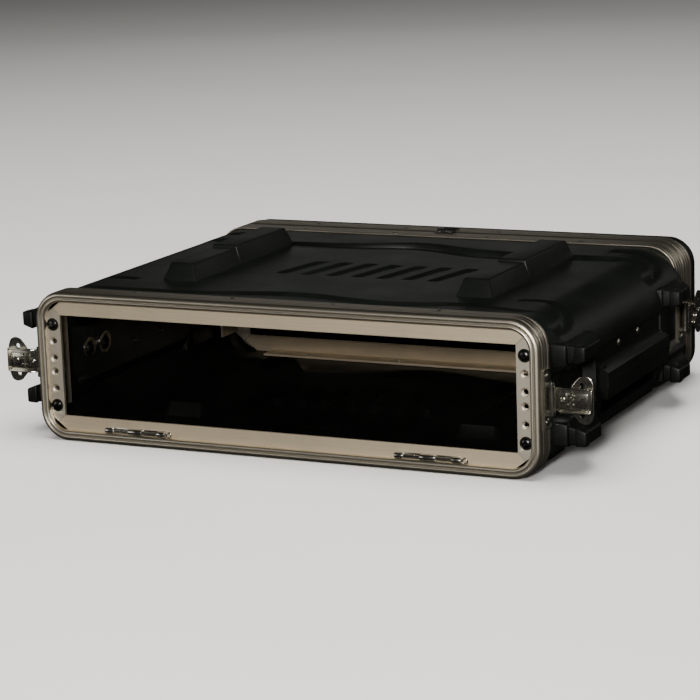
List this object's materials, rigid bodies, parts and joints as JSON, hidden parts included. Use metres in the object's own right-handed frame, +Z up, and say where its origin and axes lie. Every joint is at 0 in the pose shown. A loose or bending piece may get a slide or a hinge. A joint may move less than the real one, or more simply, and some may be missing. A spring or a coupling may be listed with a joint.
{
  "type": "equipment rack case",
  "caption": "Low moulded rack case with metal edge valances, side rack rails, butterfly latches, side handles, stacking treads and a lift-off rear cover; front open.",
  "frame": {"origin": "middle of the footprint, on the surface that the case stands on", "axes": "+X to the right when facing the rack opening, +Y from the opening towards the rear cover, +Z up"},
  "size_m": [0.5796, 0.436, 0.1545],
  "materials": {
    "shell_plastic": "textured satin moulding",
    "valance_metal": "satin extruded, fine lengthwise grain",
    "strip_metal": "satin, fine grain",
    "black_screw": "black oxide, satin",
    "washer_plastic": "smooth black",
    "bright_screw": "bright zinc",
    "handle_plastic": "smooth satin moulding",
    "bolt_steel": "dull zinc",
    "hinge_steel": "bright nickel",
    "keeper_steel": "satin nickel",
    "rivet_metal": "satin",
    "latch_nickel": "bright nickel plate"
  },
  "bodies": {
    "case": {"body_shell": "shell_plastic", "front_valance": "valance_metal", "rear_valance": "valance_metal", "front_flange_top": "strip_metal", "front_flange_bottom": "strip_metal", "front_rail_left": "strip_metal", "front_rail_right": "strip_metal", "rear_flange_top": "strip_metal", "rear_flange_bottom": "strip_metal", "rear_rail_left": "strip_metal", "rear_rail_right": "strip_metal", "rack_screws": "black_screw", "cup_washers": "washer_plastic", "front_valance_rivets": "rivet_metal", "rear_valance_rivets": "rivet_metal", "rail_rivets": "rivet_metal", "handle_left": "handle_plastic", "handle_right": "handle_plastic", "handle_screws": "bright_screw", "wall_bolts": "bolt_steel", "hinge_leaf_left": "hinge_steel", "hinge_leaf_right": "hinge_steel", "keeper_clip": "keeper_steel", "keeper_rivets": "rivet_metal", "front_latch_base_left": "latch_nickel", "front_latch_pin_left": "latch_nickel", "front_latch_base_right": "latch_nickel", "front_latch_pin_right": "latch_nickel", "rear_latch_base_left": "latch_nickel", "rear_latch_pin_left": "latch_nickel", "rear_latch_base_right": "latch_nickel", "rear_latch_pin_right": "latch_nickel", "latch_rivets": "rivet_metal"},
    "rear_cover": {"cover_shell": "shell_plastic", "cover_valance": "valance_metal", "cover_catch_left": "latch_nickel", "cover_catch_right": "latch_nickel", "cover_rivets": "rivet_metal"},
    "front_link_left": {"front_latch_link_left": "latch_nickel", "front_latch_stud_left": "latch_nickel"},
    "front_wing_left": {"front_latch_wing_left": "latch_nickel"},
    "front_link_right": {"front_latch_link_right": "latch_nickel", "front_latch_stud_right": "latch_nickel"},
    "front_wing_right": {"front_latch_wing_right": "latch_nickel"},
    "rear_link_left": {"rear_latch_link_left": "latch_nickel", "rear_latch_stud_left": "latch_nickel"},
    "rear_wing_left": {"rear_latch_wing_left": "latch_nickel"},
    "rear_link_right": {"rear_latch_link_right": "latch_nickel", "rear_latch_stud_right": "latch_nickel"},
    "rear_wing_right": {"rear_latch_wing_right": "latch_nickel"},
    "loose_pin_left": {"hinge_pin_left": "hinge_steel"},
    "loose_pin_right": {"hinge_pin_right": "hinge_steel"}
  },
  "joints": [
    {"name": "front_latch_left_swing", "type": "hinge", "parent": "case", "child": "front_link_left", "pos_m": [-0.2536, -0.204, 0.07], "axis": [0, 0, 1], "range_deg": [-45, 90]},
    {"name": "front_wing_left_turn", "type": "hinge", "parent": "front_link_left", "child": "front_wing_left", "pos_m": [-0.2806, -0.2, 0.07], "axis": [0, 1, 0], "range_deg": [0, 180]},
    {"name": "front_latch_right_swing", "type": "hinge", "parent": "case", "child": "front_link_right", "pos_m": [0.2536, -0.204, 0.07], "axis": [0, 0, 1], "range_deg": [-90, 45]},
    {"name": "front_wing_right_turn", "type": "hinge", "parent": "front_link_right", "child": "front_wing_right", "pos_m": [0.2806, -0.2, 0.07], "axis": [0, 1, 0], "range_deg": [0, 180]},
    {"name": "rear_latch_left_swing", "type": "hinge", "parent": "case", "child": "rear_link_left", "pos_m": [-0.2536, 0.1528, 0.07], "axis": [0, 0, 1], "range_deg": [0, 135]},
    {"name": "rear_wing_left_turn", "type": "hinge", "parent": "rear_link_left", "child": "rear_wing_left", "pos_m": [-0.2576, 0.1798, 0.07], "axis": [1, 0, 0], "range_deg": [0, 180]},
    {"name": "rear_latch_right_swing", "type": "hinge", "parent": "case", "child": "rear_link_right", "pos_m": [0.2536, 0.1528, 0.07], "axis": [0, 0, 1], "range_deg": [-135, 0]},
    {"name": "rear_wing_right_turn", "type": "hinge", "parent": "rear_link_right", "child": "rear_wing_right", "pos_m": [0.2576, 0.1798, 0.07], "axis": [1, 0, 0], "range_deg": [0, 180]},
    {"name": "hinge_pin_left_pull", "type": "slide", "parent": "case", "child": "loose_pin_left", "axis": [1, 0, 0], "range_m": [0, 0.065]},
    {"name": "hinge_pin_right_pull", "type": "slide", "parent": "case", "child": "loose_pin_right", "axis": [1, 0, 0], "range_m": [0, 0.04]},
    {"name": "rear_cover_off", "type": "slide", "parent": "case", "child": "rear_cover", "axis": [0, 1, 0], "range_m": [0, 0.08]}
  ]
}
